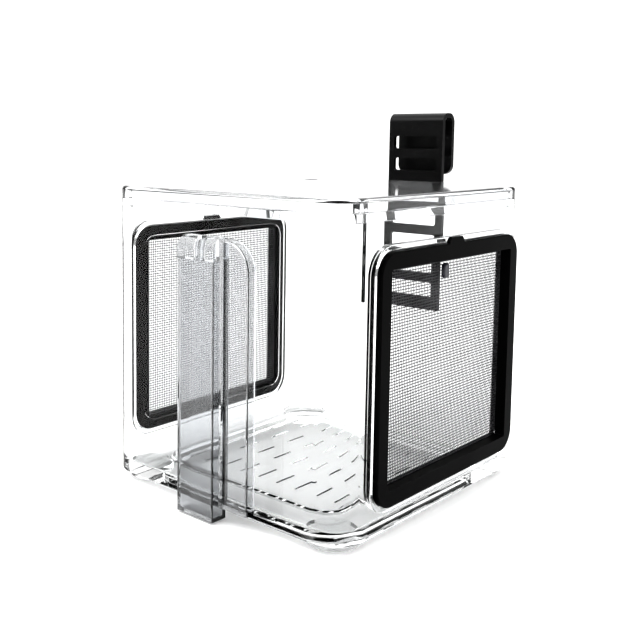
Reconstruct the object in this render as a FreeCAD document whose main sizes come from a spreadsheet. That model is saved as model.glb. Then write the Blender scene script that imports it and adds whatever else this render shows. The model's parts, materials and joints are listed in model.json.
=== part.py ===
import FreeCAD, Part
import Sketcher
import os

# Hang-on isolation box: clear tub and lid, two pull-out mesh windows, slotted
# floor plate, front column with a side chamber, and a ladder bracket with a hook.
# Millimetres, +Z up. Origin: middle of the whole object in plan, on the plane the feet
# rest on. The tub's own centre lies a little towards -Y of it, since the hook at the
# back stands out further than the column at the front.
# The column is on the -Y wall, the bracket on the +Y wall, the windows on the X walls.

os.makedirs("parts", exist_ok=True)
doc = FreeCAD.newDocument("isolation_box")

SIZES = [
    # tub
    ("box_w", 142.0), ("box_d", 150.0), ("tub_top", 139.0), ("wall", 3.0),
    ("corner_r", 15.0), ("foot_h", 4.0), ("foot_r", 11.0), ("foot_edge", 0.8),
    ("floor_t", 4.6), ("floor_fillet", 2.0), ("fit", 0.3),
    # drop-in floor plate
    ("grate_w", 104.0), ("grate_d", 112.0), ("grate_r", 12.0), ("grate_t", 2.6),
    ("grate_ledge", 4.0), ("grate_lip", 1.2), ("grate_lip_w", 1.6),
    ("slot_w", 1.1), ("slot_len", 13.0), ("slot_pitch_x", 11.0), ("slot_pitch_y", 24.0),
    # lid
    ("lid_rim", 6.0), ("lid_sheet", 2.5), ("lid_drop", 4.5), ("lip_t", 2.7),
    ("port_r", 4.0), ("port_in", 30.0), ("lid_edge", 2.0),
    # windows
    ("win_z", 70.0), ("frame_w", 115.0), ("frame_h", 106.0), ("frame_r", 10.0),
    ("frame_bar", 7.0), ("frame_t", 5.0), ("frame_edge", 0.6), ("see_r", 1.0),
    ("collar_w", 2.4), ("collar_t", 3.0), ("hole_in", 5.0), ("hole_r", 7.0),
    ("mesh_t", 0.4), ("mesh_in", 0.5), ("retainer_t", 2.2),
    ("tab_w", 12.0), ("tab_rise", 2.6), ("tab_gap", 0.2), ("tab_slant", 1.6),
    ("button_w", 4.7), ("button_h", 6.8), ("button_r", 2.2), ("button_t", 1.6),
    ("button_down", 5.6), ("button_in", 2.0),
    # bracket
    ("strip_x", 5.0), ("strip_w", 36.0), ("strip_t", 2.4), ("strip_gap", 0.6),
    ("strip_bottom", 75.0), ("strip_top", 144.5), ("rung_pitch", 13.0),
    ("rung_slot", 8.0), ("rung_slot_w", 28.0), ("rung_slot_r", 1.5), ("rung_first", 86.0),
    ("hook_w", 33.2), ("hook_top", 181.5), ("hook_gap", 7.2), ("hook_bend", 5.0),
    ("hook_tip", 148.6), ("hook_tip_r", 5.0), ("hook_slot_w", 27.0), ("hook_slot", 6.8),
    ("hook_slot_r", 1.2), ("hook_slot_low", 154.0), ("hook_slot_high", 165.8),
    ("guide_bottom", 127.0), ("guide_len", 11.0), ("guide_side", 3.0), ("guide_reach", 3.0),
    ("guide_lip", 2.0),
    # column and side chamber
    ("col_x", -2.3), ("col_w", 22.2), ("col_d", 9.0), ("col_bottom", 0.8),
    ("col_top", 125.5), ("col_cap", 10.0), ("col_wall", 1.6), ("col_round", 5.5),
    ("col_edge", 0.6), ("col_port_r", 3.0),
    ("cham_w", 16.5), ("cham_d", 5.0), ("cham_bottom", 7.0), ("cham_top", 125.2),
    ("cham_r", 14.0), ("cham_wall", 1.5),
]

sheet = doc.addObject("Spreadsheet::Sheet", "Dim")
for row, (name, value) in enumerate(SIZES, start=1):
    sheet.set("A%d" % row, name)
    sheet.set("B%d" % row, str(value))
    sheet.setAlias("B%d" % row, name)
doc.recompute()
VALUE = dict(SIZES)
SLOT_COLUMNS = 9
SLOT_ROWS = 4
RUNG_SLOTS = 5
SPARE_CELL = "D1"
TUB_SHIFT = "( col_d - strip_gap - 2 * strip_t - hook_gap ) / 2"
nodes = []


def d(text):
    """Turn a formula over size names into one that reads the spreadsheet."""
    words = text.replace("(", " ( ").replace(")", " ) ").split()
    return " ".join("Dim." + w if w in VALUE else w for w in words)


def number(text):
    """Work a formula out once in a spare cell, to start a sketch near its size."""
    sheet.set(SPARE_CELL, "=" + d(text).replace("Dim.", ""))
    sheet.recompute()
    return float(sheet.get(SPARE_CELL))


def body(label, x="0", y="0", z="0", turn=0.0):
    """A new body placed by formulas from the tub's centre, turned about +Z by degrees."""
    item = doc.addObject("PartDesign::Body", label)
    item.Label = label
    item.Placement = FreeCAD.Placement(
        FreeCAD.Vector(0, 0, 0), FreeCAD.Rotation(FreeCAD.Vector(0, 0, 1), turn))
    for axis, text in (("x", x), ("y", y + " + " + TUB_SHIFT), ("z", z)):
        if text != "0":
            item.setExpression(".Placement.Base." + axis, d(text))
    nodes.append(item)
    return item


def sketch(owner, name, plane, across="0", up="0", out="0"):
    """A sketch on one of the body's own planes, shifted in that plane and off it."""
    item = owner.newObject("Sketcher::SketchObject", owner.Name + "_" + name)
    base = [f for f in owner.Origin.OriginFeatures if f.Role == plane][0]
    item.AttachmentSupport = [(base, "")]
    item.MapMode = "FlatFace"
    for axis, text in (("x", across), ("y", up), ("z", out)):
        if text != "0":
            item.setExpression(".AttachmentOffset.Base." + axis, d(text))
    return item


def size_constraint(item, name, kind, args, text):
    index = item.addConstraint(Sketcher.Constraint(kind, *args, number(text)))
    item.renameConstraint(index, name)
    item.setExpression("Constraints." + name, d(text))


def rectangle(item, tag, w, h):
    """A plain rectangle centred on the sketch origin."""
    a, b = number(w) / 2, number(h) / 2
    corner = [FreeCAD.Vector(*p, 0) for p in ((-a, -b), (a, -b), (a, b), (-a, b))]
    first = item.GeometryCount
    for i in range(4):
        item.addGeometry(Part.LineSegment(corner[i], corner[(i + 1) % 4]))
    for i in range(4):
        item.addConstraint(
            Sketcher.Constraint("Coincident", first + i, 2, first + (i + 1) % 4, 1))
    for i, kind in enumerate(("Horizontal", "Vertical", "Horizontal", "Vertical")):
        item.addConstraint(Sketcher.Constraint(kind, first + i))
    item.addConstraint(Sketcher.Constraint("Symmetric", first, 1, first + 2, 1, -1, 1))
    size_constraint(item, tag + "_w", "DistanceX", (first, 1, first, 2), w)
    size_constraint(item, tag + "_h", "DistanceY", (first + 1, 1, first + 1, 2), h)


def rounded(item, tag, w, h, r):
    """A rectangle with four equal round corners centred on the sketch origin."""
    a, b, c = number(w) / 2, number(h) / 2, number(r)
    z = FreeCAD.Vector(0, 0, 1)
    mid = [FreeCAD.Vector(*p, 0) for p in
           ((a - c, c - b), (a - c, b - c), (c - a, b - c), (c - a, c - b))]
    first = item.GeometryCount
    ends = [((c - a, -b), (a - c, -b)), ((a, c - b), (a, b - c)),
            ((a - c, b), (c - a, b)), ((-a, b - c), (-a, c - b))]
    for start, stop in ends:
        item.addGeometry(Part.LineSegment(FreeCAD.Vector(*start, 0), FreeCAD.Vector(*stop, 0)))
    quarter = 1.5707963267948966
    for i in range(4):
        item.addGeometry(
            Part.ArcOfCircle(Part.Circle(mid[i], z, c), (i - 1) * quarter, i * quarter))
    for i in range(4):
        arc = first + 4 + i
        item.addConstraint(Sketcher.Constraint("Tangent", first + i, 2, arc, 1))
        item.addConstraint(Sketcher.Constraint("Tangent", arc, 2, first + (i + 1) % 4, 1))
    for i in (0, 2):
        item.addConstraint(Sketcher.Constraint("Horizontal", first + i))
    item.addConstraint(Sketcher.Constraint("Vertical", first + 1))
    item.addConstraint(Sketcher.Constraint("Equal", first + 4, first + 5))
    item.addConstraint(Sketcher.Constraint("Equal", first + 4, first + 6))
    item.addConstraint(
        Sketcher.Constraint("Symmetric", first + 4, 3, first + 6, 3, -1, 1))
    size_constraint(item, tag + "_r", "Radius", (first + 4,), r)
    size_constraint(item, tag + "_w", "DistanceX", (first + 3, 1, first + 1, 1), w)
    size_constraint(item, tag + "_h", "DistanceY", (first, 1, first + 2, 1), h)


def circle(item, tag, r):
    """A circle centred on the sketch origin."""
    first = item.GeometryCount
    ring = Part.Circle(FreeCAD.Vector(0, 0, 0), FreeCAD.Vector(0, 0, 1), number(r))
    item.addGeometry(ring)
    item.addConstraint(Sketcher.Constraint("Coincident", first, 3, -1, 1))
    size_constraint(item, tag + "_r", "Radius", (first,), r)


def feature(owner, kind, profile, name, length, back=False):
    """Pad or pocket a sketch; a pocket must take something away."""
    item = owner.newObject("PartDesign::" + kind, owner.Name + "_" + name)
    item.Profile = profile
    item.setExpression("Length", d(length))
    item.Reversed = back
    return item


def pad(owner, profile, name, length, back=False):
    return feature(owner, "Pad", profile, name, length, back)


def pocket(owner, profile, name, length, back=False):
    before = volume(owner)
    item = feature(owner, "Pocket", profile, name, length, back)
    if volume(owner) >= before - 1e-3:
        item.Reversed = not back
        if volume(owner) >= before - 1e-3:
            raise SystemExit("pocket cuts nothing: " + item.Name)
    return item


def volume(owner):
    doc.recompute()
    return owner.Shape.Volume


def edges(owner, test):
    """Names of the tip's edges whose middle and direction pass a test."""
    doc.recompute()
    found = []
    for i, edge in enumerate(owner.Tip.Shape.Edges, start=1):
        box = edge.BoundBox
        if test(box):
            found.append("Edge%d" % i)
    return found


def round_edges(owner, name, radius, test, kind="Fillet"):
    names = edges(owner, test)
    if not names:
        raise SystemExit("no edges for " + owner.Name + "_" + name)
    tip = owner.Tip
    item = owner.newObject("PartDesign::" + kind, owner.Name + "_" + name)
    item.Base = (tip, names)
    item.setExpression("Radius" if kind == "Fillet" else "Size", d(radius))
    doc.recompute()
    return item


def near(value, target):
    return abs(value - target) < 0.01


def level(box, z):
    """True for an edge lying flat at one height."""
    return near(box.ZMin, z) and near(box.ZMax, z)


# ---------------------------------------------------------------- tub
INNER_W = "box_w - 2 * wall"
INNER_D = "box_d - 2 * wall"
tub = body("tub_shell", z="foot_h")
outline = sketch(tub, "outline", "XY_Plane")
rounded(outline, "out", "box_w", "box_d", "corner_r")
pad(tub, outline, "block", "tub_top - foot_h")
hollow = sketch(tub, "hollow", "XY_Plane", out="floor_t")
rounded(hollow, "in", INNER_W, INNER_D, "corner_r - wall")
pocket(tub, hollow, "cavity", "tub_top - foot_h - floor_t", back=True)
seat = sketch(tub, "seat", "XY_Plane", out="floor_t - grate_t")
rounded(seat, "seat", "grate_w + 2 * fit", "grate_d + 2 * fit", "grate_r + fit")
pocket(tub, seat, "plate_seat", "grate_t + 0.1", back=True)
drain = sketch(tub, "drain", "XY_Plane")
rounded(drain, "drain", "grate_w - 2 * grate_ledge", "grate_d - 2 * grate_ledge",
        "grate_r - grate_ledge")
pocket(tub, drain, "drain_hole", "floor_t", back=True)
for side, way in (("right", 1), ("left", -1)):
    hole = sketch(tub, "hole_" + side, "YZ_Plane", up="win_z - foot_h",
                  out="%d * ( box_w / 2 - 2 * wall )" % way)
    rounded(hole, "hole", "frame_w - 2 * hole_in", "frame_h - 2 * hole_in", "hole_r")
    pocket(tub, hole, "window_" + side, "3 * wall", back=(way > 0))
inner_floor = VALUE["foot_h"] + VALUE["floor_t"]
half_in = VALUE["box_w"] / 2 - VALUE["wall"]
round_edges(tub, "floor_round", "floor_fillet",
            lambda b: level(b, inner_floor - VALUE["foot_h"])
            and max(abs(b.XMin), abs(b.XMax)) > half_in - VALUE["corner_r"]
            and max(abs(b.YMin), abs(b.YMax)) > VALUE["box_d"] / 2 - VALUE["corner_r"])

for side_x, way_x in (("right", "1"), ("left", "-1")):
    for side_y, way_y in (("back", "1"), ("front", "-1")):
        foot = body("foot_%s_%s" % (side_y, side_x),
                    x=way_x + " * ( box_w / 2 - corner_r )",
                    y=way_y + " * ( box_d / 2 - corner_r )")
        disc = sketch(foot, "disc", "XY_Plane")
        circle(disc, "disc", "foot_r")
        pad(foot, disc, "pad", "foot_h")
        round_edges(foot, "edge", "foot_edge", lambda b: level(b, 0.0))

# ---------------------------------------------------------------- floor plate
grate = body("floor_grate", z="foot_h + floor_t - grate_t")
plate = sketch(grate, "plate", "XY_Plane")
rounded(plate, "plate", "grate_w", "grate_d", "grate_r")
pad(grate, plate, "sheet", "grate_t + grate_lip")
dish = sketch(grate, "dish", "XY_Plane", out="grate_t")
rounded(dish, "dish", "grate_w - 2 * grate_lip_w", "grate_d - 2 * grate_lip_w",
        "grate_r - grate_lip_w")
pocket(grate, dish, "recess", "grate_lip", back=True)
slot = sketch(grate, "slot", "XY_Plane",
              across="( 1 - %d ) / 2 * slot_pitch_x" % SLOT_COLUMNS,
              up="( 1 - %d ) / 2 * slot_pitch_y" % SLOT_ROWS)
rectangle(slot, "slot", "slot_w", "slot_len")
slot_cut = pocket(grate, slot, "slot_cut", "grate_t", back=True)
grid = grate.newObject("PartDesign::MultiTransform", "floor_grate_slots")
grid.Originals = [slot_cut]
across = grate.newObject("PartDesign::LinearPattern", "floor_grate_across")
across.Direction = (slot, ["H_Axis"])
along = grate.newObject("PartDesign::LinearPattern", "floor_grate_along")
along.Direction = (slot, ["V_Axis"])
grid.Transformations = [across, along]
grate.Tip = grid
across.setExpression("Length", d("( %d - 1 ) * slot_pitch_x" % SLOT_COLUMNS))
across.Occurrences = SLOT_COLUMNS
along.setExpression("Length", d("( %d - 1 ) * slot_pitch_y" % SLOT_ROWS))
along.Occurrences = SLOT_ROWS

# ---------------------------------------------------------------- lid
lid = body("lid_panel", z="tub_top")
lid_outline = sketch(lid, "outline", "XY_Plane")
rounded(lid_outline, "lid", "box_w", "box_d", "corner_r")
pad(lid, lid_outline, "plate", "lid_rim")
under = sketch(lid, "under", "XY_Plane")
rounded(under, "under", "box_w - 2 * ( wall + fit + lip_t )",
        "box_d - 2 * ( wall + fit + lip_t )", "corner_r - wall - fit - lip_t")
pocket(lid, under, "hollow", "lid_rim - lid_sheet", back=True)
port = sketch(lid, "port", "XY_Plane", across="port_in - box_w / 2", up="box_d / 2 - port_in")
circle(port, "port", "port_r")
pocket(lid, port, "tube_hole", "lid_rim", back=True)
round_edges(lid, "edge", "lid_edge", lambda b: level(b, VALUE["lid_rim"])
            and max(abs(b.XMin), abs(b.XMax), abs(b.YMin), abs(b.YMax)) > half_in - 1)

lip = body("lid_lip", z="tub_top - lid_drop")
lip_ring = sketch(lip, "ring", "XY_Plane")
rounded(lip_ring, "out", "box_w - 2 * ( wall + fit )", "box_d - 2 * ( wall + fit )",
        "corner_r - wall - fit")
rounded(lip_ring, "in", "box_w - 2 * ( wall + fit + lip_t )",
        "box_d - 2 * ( wall + fit + lip_t )", "corner_r - wall - fit - lip_t")
pad(lip, lip_ring, "band", "lid_drop")

# ---------------------------------------------------------------- windows
# Each piece is drawn with +X pointing out of the box and the window's centre at
# the origin, on the wall's outer face; the left-hand set is turned half a turn.
SEE_W = "frame_w - 2 * frame_bar"
SEE_H = "frame_h - 2 * frame_bar"
for side, way, turn in (("right", "1", 0.0), ("left", "-1", 180.0)):
    wall_x = way + " * box_w / 2"

    collar = body("window_collar_" + side, x=wall_x, z="win_z", turn=turn)
    ring = sketch(collar, "ring", "YZ_Plane")
    rounded(ring, "out", "frame_w + 2 * ( fit + collar_w )",
            "frame_h + 2 * ( fit + collar_w )", "frame_r + fit + collar_w")
    rounded(ring, "in", "frame_w + 2 * fit", "frame_h + 2 * fit", "frame_r + fit")
    pad(collar, ring, "rim", "collar_t")
    round_edges(collar, "edge", "frame_edge",
                lambda b: near(b.XMin, VALUE["collar_t"]) and near(b.XMax, VALUE["collar_t"])
                and max(abs(b.YMax), abs(b.YMin)) > (VALUE["frame_w"] - VALUE["frame_r"]) / 2)

    frame = body("window_frame_" + side, x=wall_x, z="win_z", turn=turn)
    bar = sketch(frame, "bar", "YZ_Plane")
    rounded(bar, "out", "frame_w", "frame_h", "frame_r")
    rounded(bar, "see", SEE_W, SEE_H, "see_r")
    pad(frame, bar, "ring", "frame_t")
    tab = sketch(frame, "tab", "YZ_Plane", up="frame_h / 2", out="collar_t + tab_gap")
    rectangle(tab, "tab", "tab_w", "2 * tab_rise")
    pad(frame, tab, "finger_tab", "frame_t - collar_t - tab_gap")
    high = VALUE["frame_h"] / 2 + VALUE["tab_rise"]
    round_edges(frame, "tab_slant", "tab_slant",
                lambda b: b.XLength > 1 and near(b.ZMin, high) and near(b.ZMax, high)
                and b.YLength < 0.01, kind="Chamfer")
    front = VALUE["frame_t"]
    half_see = VALUE["frame_w"] / 2 - VALUE["frame_bar"]
    round_edges(frame, "edge", "frame_edge",
                lambda b: near(b.XMin, front) and near(b.XMax, front)
                and b.ZMax < VALUE["frame_h"] / 2 - 0.1
                and max(abs(b.YMin), abs(b.YMax)) > half_see + 1)

    mesh = body("window_mesh_" + side, x=wall_x, z="win_z", turn=turn)
    sheet_outline = sketch(mesh, "outline", "YZ_Plane", out="-1 * mesh_t")
    rounded(sheet_outline, "mesh", "frame_w - 2 * ( hole_in + fit + mesh_in )",
            "frame_h - 2 * ( hole_in + fit + mesh_in )", "hole_r - fit - mesh_in")
    pad(mesh, sheet_outline, "sheet", "mesh_t")

    retainer = body("window_retainer_" + side, x=wall_x, z="win_z", turn=turn)
    hold = sketch(retainer, "ring", "YZ_Plane", out="-1 * ( mesh_t + retainer_t )")
    rounded(hold, "out", "frame_w - 2 * ( hole_in + fit )",
            "frame_h - 2 * ( hole_in + fit )", "hole_r - fit")
    rounded(hold, "see", SEE_W, SEE_H, "see_r")
    pad(retainer, hold, "band", "retainer_t")

    button = body("window_button_" + side, x=wall_x,
                  z="win_z + frame_h / 2 - frame_bar - button_down", turn=turn)
    stud = sketch(button, "stud", "YZ_Plane", across="-1 * button_in")
    rounded(stud, "stud", "button_w", "button_h", "button_r")
    pad(button, stud, "disc", "button_t")
    round_edges(button, "edge", "button_t / 2",
                lambda b: near(b.XMin, VALUE["button_t"]) and near(b.XMax, VALUE["button_t"]))

# ---------------------------------------------------------------- bracket
STRIP_Y = "box_d / 2 + strip_gap"
ladder = body("bracket_ladder", x="strip_x", y=STRIP_Y + " + strip_t")
strip = sketch(ladder, "strip", "XZ_Plane", up="( strip_top + strip_bottom ) / 2")
rectangle(strip, "strip", "strip_w", "strip_top - strip_bottom")
pad(ladder, strip, "plate", "strip_t")
rung = sketch(ladder, "rung", "XZ_Plane", up="rung_first")
rounded(rung, "rung", "rung_slot_w", "rung_slot", "rung_slot_r")
rung_cut = pocket(ladder, rung, "rung_cut", "strip_t", back=True)
rungs = ladder.newObject("PartDesign::LinearPattern", "bracket_ladder_rungs")
rungs.Originals = [rung_cut]
rungs.Direction = (rung, ["V_Axis"])
ladder.Tip = rungs
rungs.setExpression("Length", d("( %d - 1 ) * rung_pitch" % RUNG_SLOTS))
rungs.Occurrences = RUNG_SLOTS

# The hook stands on the ladder's end, flush with its +X edge: a block with the gap cut
# out of it from below, the outer leg a little shorter, and two slots through the leg
# that carries on the ladder.
hook = body("bracket_hook", x="strip_x + ( strip_w - hook_w ) / 2", y=STRIP_Y)
block = sketch(hook, "block", "YZ_Plane", across="( 2 * strip_t + hook_gap ) / 2",
               up="( hook_top + strip_top ) / 2", out="-1 * hook_w / 2")
rectangle(block, "block", "2 * strip_t + hook_gap", "hook_top - strip_top")
pad(hook, block, "bar", "hook_w")
gap = sketch(hook, "gap", "YZ_Plane", across="strip_t + hook_gap / 2",
             up="( hook_top - strip_t + strip_top ) / 2", out="-1 * hook_w / 2")
rectangle(gap, "gap", "hook_gap", "hook_top - strip_t - strip_top")
pocket(hook, gap, "gap_cut", "hook_w", back=True)
tip = sketch(hook, "tip", "YZ_Plane", across="1.5 * strip_t + hook_gap",
             up="( hook_tip + strip_top ) / 2", out="-1 * hook_w / 2")
rectangle(tip, "tip", "strip_t", "hook_tip - strip_top")
pocket(hook, tip, "tip_cut", "hook_w", back=True)
round_edges(hook, "bend_outer", "hook_bend",
            lambda b: b.XLength > VALUE["hook_w"] - 1 and level(b, VALUE["hook_top"]))
round_edges(hook, "bend_inner", "hook_bend - strip_t",
            lambda b: b.XLength > VALUE["hook_w"] - 1
            and level(b, VALUE["hook_top"] - VALUE["strip_t"]))
round_edges(hook, "tip_round", "hook_tip_r",
            lambda b: near(b.ZMin, VALUE["hook_tip"]) and b.YLength > 1
            and b.XLength < 0.01 and b.YMin > VALUE["strip_t"])
for place in ("low", "high"):
    hook_slot = sketch(hook, "slot_" + place, "XZ_Plane", up="hook_slot_" + place)
    rounded(hook_slot, "slot", "hook_slot_w", "hook_slot", "hook_slot_r")
    pocket(hook, hook_slot, "slot_cut_" + place, "strip_t", back=True)

# Clear rails that keep the strip against the wall.
for side, way in (("left", "-1"), ("right", "1")):
    rail_x = "strip_x + %s * ( strip_w / 2 + fit + guide_side / 2 )" % way
    guide = body("bracket_guide_" + side, x=rail_x, y="box_d / 2", z="guide_bottom")
    guide_depth = "strip_gap + strip_t + fit + guide_lip"
    side_bar = sketch(guide, "side", "XY_Plane", up="( " + guide_depth + " ) / 2")
    rectangle(side_bar, "side", "guide_side", guide_depth)
    pad(guide, side_bar, "side_bar", "guide_len")
    cover = sketch(guide, "cover", "XY_Plane",
                   across="-1 * %s * ( guide_reach + fit ) / 2" % way,
                   up="strip_gap + strip_t + fit + guide_lip / 2")
    rectangle(cover, "cover", "guide_side + guide_reach + fit", "guide_lip")
    pad(guide, cover, "cover_bar", "guide_len")

# ---------------------------------------------------------------- column
WALL_Y = "-1 * box_d / 2"
column = body("column_shell", x="col_x", y=WALL_Y + " - col_d / 2", z="col_bottom")
tube = sketch(column, "tube", "XY_Plane")
rounded(tube, "tube", "col_w", "col_d", "col_edge")
pad(column, tube, "block", "col_top - col_cap - col_bottom")
bore = sketch(column, "bore", "XY_Plane", out="col_wall")
rectangle(bore, "bore", "col_w - 2 * col_wall", "col_d - 2 * col_wall")
pocket(column, bore, "inside", "col_top - col_cap - col_bottom", back=True)

cap = body("column_cap", x="col_x", y=WALL_Y + " - col_d / 2", z="col_top - col_cap")
cap_outline = sketch(cap, "outline", "XY_Plane")
rectangle(cap_outline, "cap", "col_w", "col_d")
pad(cap, cap_outline, "block", "col_cap")
round_edges(cap, "front_round", "col_round",
            lambda b: level(b, VALUE["col_cap"]) and b.YMax < 0 and b.XLength > 2)
air = sketch(cap, "air", "XY_Plane", up="col_d / 2 - col_port_r - 1")
circle(air, "air", "col_port_r")
pocket(cap, air, "air_hole", "col_cap", back=True)

chamber = body("side_chamber", x="col_x + col_w / 2 + cham_w / 2", y=WALL_Y)
face = sketch(chamber, "face", "XZ_Plane", up="( cham_top + cham_bottom ) / 2")
rectangle(face, "face", "cham_w", "cham_top - cham_bottom")
pad(chamber, face, "block", "cham_d")
half_cham = VALUE["cham_w"] / 2
inside = sketch(chamber, "inside", "XZ_Plane", up="( cham_top + cham_bottom ) / 2")
rectangle(inside, "inside", "cham_w - 2 * cham_wall", "cham_top - cham_bottom - 2 * cham_wall")
pocket(chamber, inside, "hollow", "cham_d - cham_wall", back=True)
for name, radius, inset in (("inner_arch", "cham_r - cham_wall", VALUE["cham_wall"]),
                            ("arch", "cham_r", 0.0)):
    round_edges(chamber, name, radius,
                lambda b: b.YLength > 1 and b.XLength < 0.01
                and near(b.XMax, half_cham - inset) and level(b, VALUE["cham_top"] - inset))

# ---------------------------------------------------------------- check and write
sheet.clear(SPARE_CELL)
doc.recompute()
for item in doc.Objects:
    if "Invalid" in item.State or "Error" in item.State:
        raise SystemExit("failed: " + item.Name)
for item in nodes:
    if item.Shape.isNull() or not item.Shape.isValid() or not item.Shape.Solids:
        raise SystemExit("bad shape: " + item.Label)
for item in nodes:
    item.Shape.exportStep("parts/" + item.Label + ".step")
print("nodes", len(nodes))
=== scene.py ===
import json
import math

import bmesh
import bpy
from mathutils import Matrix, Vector


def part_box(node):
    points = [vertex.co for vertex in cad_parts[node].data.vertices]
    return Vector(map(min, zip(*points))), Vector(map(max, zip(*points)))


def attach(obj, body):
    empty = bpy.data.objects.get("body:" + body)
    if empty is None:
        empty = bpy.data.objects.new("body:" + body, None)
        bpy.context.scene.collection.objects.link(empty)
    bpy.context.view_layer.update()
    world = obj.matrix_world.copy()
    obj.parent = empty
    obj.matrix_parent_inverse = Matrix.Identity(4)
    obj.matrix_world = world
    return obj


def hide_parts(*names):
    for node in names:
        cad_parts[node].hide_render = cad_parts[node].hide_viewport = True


# Looks of a clear hang-on box: finishes for the CAD pieces, woven wire in its two mesh
# windows, and a bright white studio in which the clear edges draw themselves dark.

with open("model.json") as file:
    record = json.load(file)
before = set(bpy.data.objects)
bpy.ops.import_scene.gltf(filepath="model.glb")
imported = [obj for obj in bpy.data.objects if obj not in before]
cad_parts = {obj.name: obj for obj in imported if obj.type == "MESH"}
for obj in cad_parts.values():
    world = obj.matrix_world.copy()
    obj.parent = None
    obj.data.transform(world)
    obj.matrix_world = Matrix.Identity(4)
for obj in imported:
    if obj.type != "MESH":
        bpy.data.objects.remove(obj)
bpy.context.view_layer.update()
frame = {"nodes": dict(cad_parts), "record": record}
nodes = frame["nodes"]
MM = 0.001
SIDES = ("right", "left")


# ------------------------------------------------------------------ node helpers
def new_material(name):
    """A new node material, its node tree and its Principled shader."""
    mat = bpy.data.materials.new(name)
    mat.use_nodes = True
    return mat, mat.node_tree, mat.node_tree.nodes["Principled BSDF"]


def add(tree, kind, **settings):
    """A new shader node of this kind, with its settings."""
    node = tree.nodes.new("ShaderNode" + kind)
    for key, value in settings.items():
        setattr(node, key, value)
    return node


def fill(tree, node, inputs):
    """Give a node's inputs, by name or number, a constant or a link to an output."""
    for key, value in inputs.items():
        if isinstance(value, bpy.types.NodeSocket):
            tree.links.new(value, node.inputs[key])
        else:
            node.inputs[key].default_value = value


def noise(tree, coords, scale, detail=4.0, rough=0.55, stretch=(1, 1, 1)):
    """Noise on object coordinates, in metres, with an optional stretch."""
    place = add(tree, "Mapping")
    fill(tree, place, {"Vector": coords.outputs["Object"], "Scale": stretch})
    texture = add(tree, "TexNoise")
    fill(tree, texture, {"Vector": place.outputs["Vector"], "Scale": scale,
                         "Detail": detail, "Roughness": rough})
    return texture.outputs["Fac"]


def spread(tree, source, low, high, start=0.3, stop=0.7, curve="LINEAR"):
    """Map the stretch of a source from start to stop onto a range from low to high."""
    ramp = add(tree, "MapRange", interpolation_type=curve)
    fill(tree, ramp, {"Value": source, "From Min": start, "From Max": stop,
                      "To Min": low, "To Max": high})
    return ramp.outputs["Result"]


def two_tone(tree, source, dark, light):
    """A colour that goes from dark to light across the middle of a 0-1 source."""
    ramp = add(tree, "ValToRGB")
    first, last = ramp.color_ramp.elements
    first.position, first.color = 0.3, (*dark, 1)
    last.position, last.color = 0.7, (*light, 1)
    fill(tree, ramp, {"Fac": source})
    return ramp.outputs["Color"]


def blend(tree, share, first, second):
    """The first colour, giving way to the second as the share goes from 0 to 1."""
    mix = add(tree, "Mix", data_type="RGBA")
    fill(tree, mix, {"Factor": share, "A": first, "B": second})
    return mix.outputs["Result"]


def arithmetic(tree, operation, *values):
    """The result of one operation on constants and outputs."""
    node = add(tree, "Math", operation=operation)
    fill(tree, node, dict(enumerate(values)))
    return node.outputs["Value"]


def dot(tree, first, second):
    """How far two directions agree, from -1 to 1."""
    node = add(tree, "VectorMath", operation="DOT_PRODUCT")
    fill(tree, node, {0: first, 1: second})
    return node.outputs["Value"]


def bump(tree, shader, source, strength, distance):
    """Roughen a shader's surface by a height source."""
    node = add(tree, "Bump")
    fill(tree, node, {"Height": source, "Strength": strength, "Distance": distance})
    fill(tree, shader, {"Normal": node.outputs["Normal"]})


# ------------------------------------------------------------------ materials
NO_TINT = (0.98, 0.985, 0.985, 1)
WORN_BLACK = (0.015, 0.015, 0.0155, 1)


def clear_plastic(name, tints, roughness, wave=0.04, glint=0.1, ior=1.30, flat_haze=0.0):
    """Polished clear moulding with faint flow waves and fine handling scuffs.

    With a flat haze, level faces lose their tint and turn slightly matt, so that only
    the upright faces show the tint.
    """
    mat, tree, shader = new_material(name)
    coords = add(tree, "TexCoord")
    flow = noise(tree, coords, scale=26.0, detail=3.0, rough=0.5, stretch=(1, 1, 0.4))
    scuff = noise(tree, coords, scale=900.0, detail=5.0, rough=0.65, stretch=(1, 1, 0.12))
    tint = two_tone(tree, flow, *tints)
    rough = spread(tree, scuff, *roughness, start=0.45, stop=0.8)
    if flat_haze:
        facing = add(tree, "SeparateXYZ")
        fill(tree, facing, {"Vector": add(tree, "NewGeometry").outputs["Normal"]})
        upward = arithmetic(tree, "ABSOLUTE", facing.outputs["Z"])
        level = spread(tree, upward, 0.0, 1.0, start=0.9, stop=0.99)
        rough = arithmetic(tree, "MULTIPLY_ADD", level, flat_haze, rough)
        tint = blend(tree, level, tint, NO_TINT)
    fill(tree, shader, {"Base Color": tint, "Roughness": rough, "IOR": ior,
                        "Transmission Weight": 1.0, "Specular Tint": (glint, glint, glint, 1)})
    bump(tree, shader, flow, strength=wave, distance=0.6 * MM)
    return mat


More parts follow.
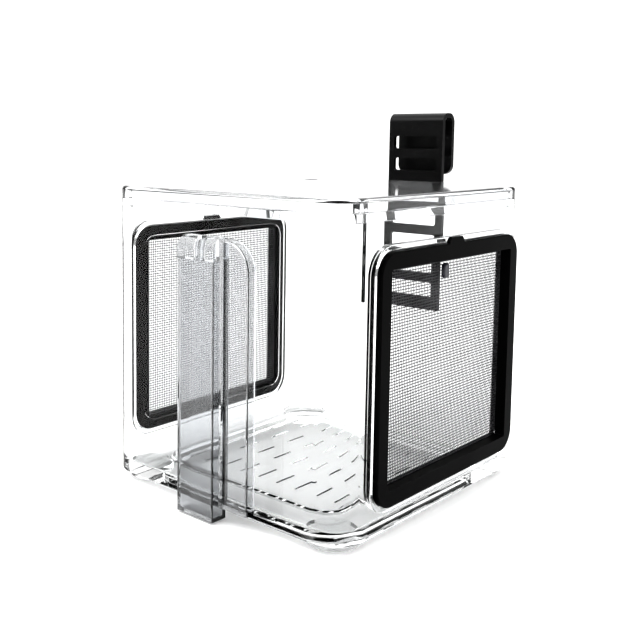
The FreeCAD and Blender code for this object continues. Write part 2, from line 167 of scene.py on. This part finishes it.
def black_plastic(name, tones, roughness, grain_scale, grain, shine=0.02):
    """Moulded black plastic: fine grain, slight cloudiness, edges worn paler."""
    mat, tree, shader = new_material(name)
    coords = add(tree, "TexCoord")
    cloud = noise(tree, coords, scale=45.0)
    fine = noise(tree, coords, scale=grain_scale, detail=3.0, rough=0.6)
    softened = add(tree, "Bevel")
    fill(tree, softened, {"Radius": 0.7 * MM})
    facing = add(tree, "NewGeometry")
    agree = dot(tree, softened.outputs["Normal"], facing.outputs["Normal"])
    edge = spread(tree, agree, 1.0, 0.0, start=0.82, stop=0.99)
    patchy = spread(tree, fine, 0.1, 0.8, start=0.4, stop=0.65)
    worn = arithmetic(tree, "MULTIPLY", edge, patchy)
    fill(tree, shader, {
        "Base Color": blend(tree, worn, two_tone(tree, cloud, *tones), WORN_BLACK),
        "Roughness": spread(tree, cloud, *roughness),
        "Specular IOR Level": shine})
    bump(tree, shader, fine, strength=grain, distance=0.12 * MM)
    return mat


def woven_steel(name):
    """Drawn wire: dark metal with paler patches, and fine marks from drawing."""
    mat, tree, shader = new_material(name)
    coords = add(tree, "TexCoord")
    tarnish = noise(tree, coords, scale=60.0, detail=5.0, rough=0.6)
    drawn = noise(tree, coords, scale=3500.0, detail=2.0, rough=0.5)
    fill(tree, shader, {
        "Base Color": two_tone(tree, tarnish, (0.035, 0.035, 0.037), (0.11, 0.11, 0.115)),
        "Roughness": spread(tree, drawn, 0.28, 0.46),
        "Metallic": 1.0})
    bump(tree, shader, drawn, strength=0.25, distance=0.03 * MM)
    return mat


# The refraction of most clear pieces is set lower than the real plastic's. Higher values
# drew black bars at the tub's lower corners, and drew the floor plate's slots too dark.
WATER_CLEAR = ((0.985, 0.992, 0.993), (0.995, 0.998, 0.998))
CLEAR = clear_plastic("clear_moulding", WATER_CLEAR, (0.008, 0.05))
CLEAR_TUB = clear_plastic("clear_tub", WATER_CLEAR, (0.008, 0.04), ior=1.20)
CLEAR_FLOOR = clear_plastic("clear_floor", ((0.99, 0.995, 0.995), (0.998, 1.0, 1.0)),
                            (0.008, 0.04), ior=1.09)
CLEAR_LID = clear_plastic("clear_lid", ((0.78, 0.79, 0.80), (0.86, 0.865, 0.87)),
                          (0.006, 0.035), wave=0.03, glint=0.3, ior=1.49, flat_haze=0.06)
CLEAR_COLUMN = clear_plastic("clear_column", ((0.68, 0.69, 0.705), (0.76, 0.77, 0.78)),
                             (0.02, 0.08), wave=0.05, glint=1.0, ior=1.45)
# Painted shade: a near-black, matt clear material for the lid hole's wall, standing in for the
# shade inside the hole rather than a colour of the plastic.
BORE_PAINTED_SHADE = clear_plastic("lid_hole_painted_shade", ((0.012, 0.012, 0.013), (0.03, 0.03, 0.032)),
                          (0.45, 0.6))
FRAME_BLACK = black_plastic("window_frame_black",
                            ((0.0006, 0.0006, 0.0007), (0.0018, 0.0018, 0.0019)),
                            (0.32, 0.44), grain_scale=1500.0, grain=0.05)
STRIP_BLACK = black_plastic("bracket_black",
                            ((0.0018, 0.0018, 0.0019), (0.0045, 0.0045, 0.0047)),
                            (0.30, 0.42), grain_scale=1100.0, grain=0.1, shine=0.15)
STUD_BLACK = black_plastic("stud_black",
                           ((0.008, 0.008, 0.014), (0.02, 0.02, 0.032)),
                           (0.16, 0.26), grain_scale=1800.0, grain=0.06, shine=0.4)
STEEL = woven_steel("woven_steel")


# ------------------------------------------------------------------ carried-over nodes
GAP = 0.03 * MM
TUB_ROUNDING = 0.45 * MM
LID_ROUNDING = 0.4 * MM
SHARP_TURN = math.radians(50)
SMOOTH_TURN = math.radians(30)
SAME_POINT = 1e-6


def dress(names, mat, shrink=0.0, rounding=0.0):
    """Give CAD nodes their finish, with rounded edges where the moulding has them.

    Clear pieces draw in a hair, so that two clear faces never share one plane.
    """
    for name in names:
        obj = nodes[name]
        obj.data.materials.clear()
        obj.data.materials.append(mat)
        for poly in obj.data.polygons:
            poly.use_smooth = True
        weld = obj.modifiers.new("weld", "WELD")
        weld.merge_threshold = SAME_POINT
        if rounding:
            edge = obj.modifiers.new("edge", "BEVEL")
            edge.width = rounding
            edge.segments = 3
            edge.limit_method = "ANGLE"
            edge.angle_limit = SHARP_TURN
        if shrink:
            draw_in = obj.modifiers.new("gap", "DISPLACE")
            draw_in.strength = -shrink
            draw_in.mid_level = 0.0
        split = obj.modifiers.new("split", "EDGE_SPLIT")
        split.split_angle = SMOOTH_TURN
        split.use_edge_sharp = False
        even = obj.modifiers.new("even", "WEIGHTED_NORMAL")
        even.weight = 100
        even.keep_sharp = True


dress(("window_collar_right", "window_collar_left", "bracket_guide_left",
       "bracket_guide_right"), CLEAR, GAP)
dress(("foot_back_left", "foot_back_right", "foot_front_left", "foot_front_right"),
      CLEAR_TUB, GAP)
dress(("tub_shell",), CLEAR_TUB, GAP, TUB_ROUNDING)
dress(("floor_grate",), CLEAR_FLOOR, GAP)
dress(("lid_panel", "lid_lip"), CLEAR_LID, 4 * GAP, LID_ROUNDING)
dress(("column_shell", "column_cap", "side_chamber"), CLEAR_COLUMN, GAP)
dress(("bracket_ladder", "bracket_hook"), STRIP_BLACK)
for side in SIDES:
    dress(("window_frame_" + side, "window_retainer_" + side), FRAME_BLACK)
    dress(("window_button_" + side,), STUD_BLACK)


def paint_bore_shade(name, mount_name):
    """Paint shade onto the wall of an upright round hole, named by its mount: a near-black
    clear material that stands in for the shade inside the hole.
    """
    mount = next(m for m in frame["record"]["mounts"] if m["name"] == mount_name)
    centre_x, centre_y, _ = mount["pos_m"]
    reach = mount["dims"]["r_mm"] * MM * 1.05
    obj = nodes[name]
    obj.data.materials.append(BORE_PAINTED_SHADE)
    for poly in obj.data.polygons:
        spot = obj.matrix_world @ poly.center
        upright = abs(poly.normal.z) < 0.1
        if upright and math.hypot(spot.x - centre_x, spot.y - centre_y) < reach:
            poly.material_index = 1


# The lid's tube hole gets painted shade on its upright wall.
paint_bore_shade("lid_panel", "tube_hole")


# ------------------------------------------------------------------ woven mesh
WIRE_HALF = 0.24 * MM
WIRE_PITCH = 1.25 * MM
WIRE_SIDES = 4
WIRE_THICKNESS_SHARE = 0.27
SHEET_TRIM = 0.4 * MM
SHEET_CORNER = 5.8 * MM


def mesh_piece(name, bm, mat, body):
    """A smooth mesh object that rides on a body and fills a material slot."""
    data = bpy.data.meshes.new(name)
    bm.to_mesh(data)
    bm.free()
    obj = bpy.data.objects.new(name, data)
    bpy.context.scene.collection.objects.link(obj)
    data.materials.append(mat)
    for poly in data.polygons:
        poly.use_smooth = True
    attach(obj, body)
    return obj


def wire(bm, length, place, crossings, radius, lift, first_up):
    """One wavy wire: place(along, height) gives a point, height swings over and under."""
    rings = []
    steps = crossings * 2
    for i in range(steps + 1):
        along = length * (i / steps - 0.5)
        height = lift * math.cos(math.pi * i / 2) * (1 if first_up else -1)
        centre, across, out = place(along, height)
        ring = []
        for k in range(WIRE_SIDES):
            angle = 2 * math.pi * (k + 0.5) / WIRE_SIDES
            ring.append(bm.verts.new(centre + across * (WIRE_HALF * math.cos(angle))
                                     + out * (radius * math.sin(angle))))
        rings.append(ring)
    for a, b in zip(rings, rings[1:]):
        for k in range(WIRE_SIDES):
            after = (k + 1) % WIRE_SIDES
            bm.faces.new((a[k], a[after], b[after], b[k]))
    bm.faces.new(list(reversed(rings[0])))
    bm.faces.new(rings[-1])


def wire_half_length(offset, row_half, run_half):
    """Half the length of a wire, shortened where the sheet's corners are round."""
    into = abs(offset) - (row_half - SHEET_CORNER)
    if into <= 0:
        return run_half
    return run_half - SHEET_CORNER + math.sqrt(max(SHEET_CORNER ** 2 - into * into, 0.0))


def even_count(length):
    """How many wires fit in a length, rounded down to an even number."""
    return int(length / WIRE_PITCH) // 2 * 2


def weave(side):
    """A square woven cloth filling the sheet's box, wires pitched evenly both ways."""
    low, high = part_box("window_mesh_" + side)
    middle = (low + high) / 2
    wide = high.y - low.y - SHEET_TRIM
    tall = high.z - low.z - SHEET_TRIM
    thick = high.x - low.x
    radius = thick * WIRE_THICKNESS_SHARE
    lift = thick / 2 - radius
    out, level, up = Vector((1, 0, 0)), Vector((0, 1, 0)), Vector((0, 0, 1))
    bm = bmesh.new()
    for row, run, row_axis, run_axis, raised in ((wide, tall, level, up, 0),
                                                 (tall, wide, up, level, 1)):
        row_count, run_count = even_count(row), even_count(run)
        for i in range(row_count + 1):
            offset = row * (i / row_count - 0.5)
            half = wire_half_length(offset, row / 2, run / 2)
            crossings = max(2, round(run_count * half / (run / 2)) // 2 * 2)

            def place(along, height, start=middle + row_axis * offset):
                return start + run_axis * along + out * height, row_axis, out
            wire(bm, 2 * half, place, crossings, radius, lift, i % 2 == raised)
    piece = mesh_piece("weave_" + side, bm, STEEL, "window_" + side)
    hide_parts("window_mesh_" + side)


for side in SIDES:
    weave(side)


# ------------------------------------------------------------------ studio floor
FLOOR_RADIUS = 3.2
FLOOR_DROP = 0.2 * MM
FLOOR_POINTS = 64


def floor_material():
    """Matt white paper, very slightly mottled."""
    mat, tree, shader = new_material("studio_floor")
    mottle = noise(tree, add(tree, "TexCoord"), scale=4.0, detail=3.0)
    fill(tree, shader, {
        "Base Color": two_tone(tree, mottle, (0.94, 0.94, 0.94), (0.965, 0.965, 0.965)),
        "Roughness": 0.85})
    return mat


def studio_floor():
    """A large disc just under the feet."""
    bm = bmesh.new()
    turns = [2 * math.pi * k / FLOOR_POINTS for k in range(FLOOR_POINTS)]
    bm.faces.new([bm.verts.new((FLOOR_RADIUS * math.cos(turn), FLOOR_RADIUS * math.sin(turn),
                                -FLOOR_DROP)) for turn in turns])
    data = bpy.data.meshes.new("studio_floor")
    bm.to_mesh(data)
    bm.free()
    floor = bpy.data.objects.new("studio_floor", data)
    bpy.context.scene.collection.objects.link(floor)
    data.materials.append(floor_material())


studio_floor()

# ------------------------------------------------------------------ surroundings
# A bright backdrop behind the box and a bright ceiling, with grey side walls, so that
# the clear edges draw themselves dark against the white.
BACKDROP, CEILING, SIDE_WALLS = 1.1, 1.75, 0.34
BACKDROP_DIRECTION = (-0.69, 0.72, 0.0)
BACKDROP_EDGE, BACKDROP_FADE = 0.72, 0.12
CEILING_EDGE, CEILING_FULL = 0.35, 0.6


def surroundings():
    """A world whose brightness depends on the direction looked in."""
    world = bpy.data.worlds.new("studio")
    bpy.context.scene.world = world
    world.use_nodes = True
    tree = world.node_tree
    direction = add(tree, "TexCoord").outputs["Generated"]
    behind = dot(tree, direction, BACKDROP_DIRECTION)
    parts = add(tree, "SeparateXYZ")
    fill(tree, parts, {"Vector": direction})
    backdrop = spread(tree, behind, 0.0, BACKDROP, BACKDROP_EDGE,
                      BACKDROP_EDGE + BACKDROP_FADE, "SMOOTHSTEP")
    ceiling = spread(tree, parts.outputs["Z"], 0.0, CEILING, CEILING_EDGE, CEILING_FULL,
                     "SMOOTHSTEP")
    glow = arithmetic(tree, "MAXIMUM", backdrop, ceiling)
    fill(tree, tree.nodes["Background"], {
        "Strength": arithmetic(tree, "MAXIMUM", glow, SIDE_WALLS),
        "Color": (1, 1, 1, 1)})


surroundings()


# ------------------------------------------------------------------ lamps and camera
def aim(obj, direction):
    """Turn a lamp or a camera to look along a direction."""
    obj.rotation_euler = Vector(direction).to_track_quat("-Z", "Y").to_euler()


def area(name, place, target, size, power):
    """A rectangular lamp that shines on a target point."""
    lamp = bpy.data.lights.new(name, "AREA")
    lamp.shape = "RECTANGLE"
    lamp.size, lamp.size_y = size
    lamp.energy = power
    obj = bpy.data.objects.new(name, lamp)
    obj.location = place
    aim(obj, Vector(target) - Vector(place))
    bpy.context.scene.collection.objects.link(obj)


area("key", (-0.5, -0.7, 0.9), (0, 0, 0.07), size=(0.5, 0.5), power=4.0)
area("side", (0.9, -0.1, 0.5), (0, 0, 0.08), size=(0.3, 0.6), power=0.8)

# The lens, shift and place were fitted to the box's edges in the photo.
camera_data = bpy.data.cameras.new("camera")
camera_data.sensor_width = 36.0
camera_data.lens = 51.451875
camera_data.shift_x = 0.16640625
camera_data.shift_y = -0.14265625
camera_data.clip_start = 0.01
camera = bpy.data.objects.new("camera", camera_data)
bpy.context.scene.collection.objects.link(camera)
camera.location = (0.27647, -0.36032, 0.16877)
aim(camera, (-0.69424, 0.71264, -0.10090))
camera.rotation_euler.rotate_axis("Z", math.radians(0.26))
bpy.context.scene.camera = camera

view = bpy.context.scene.view_settings
view.view_transform = "Standard"
view.look = "Medium High Contrast"
view.exposure = 0.12
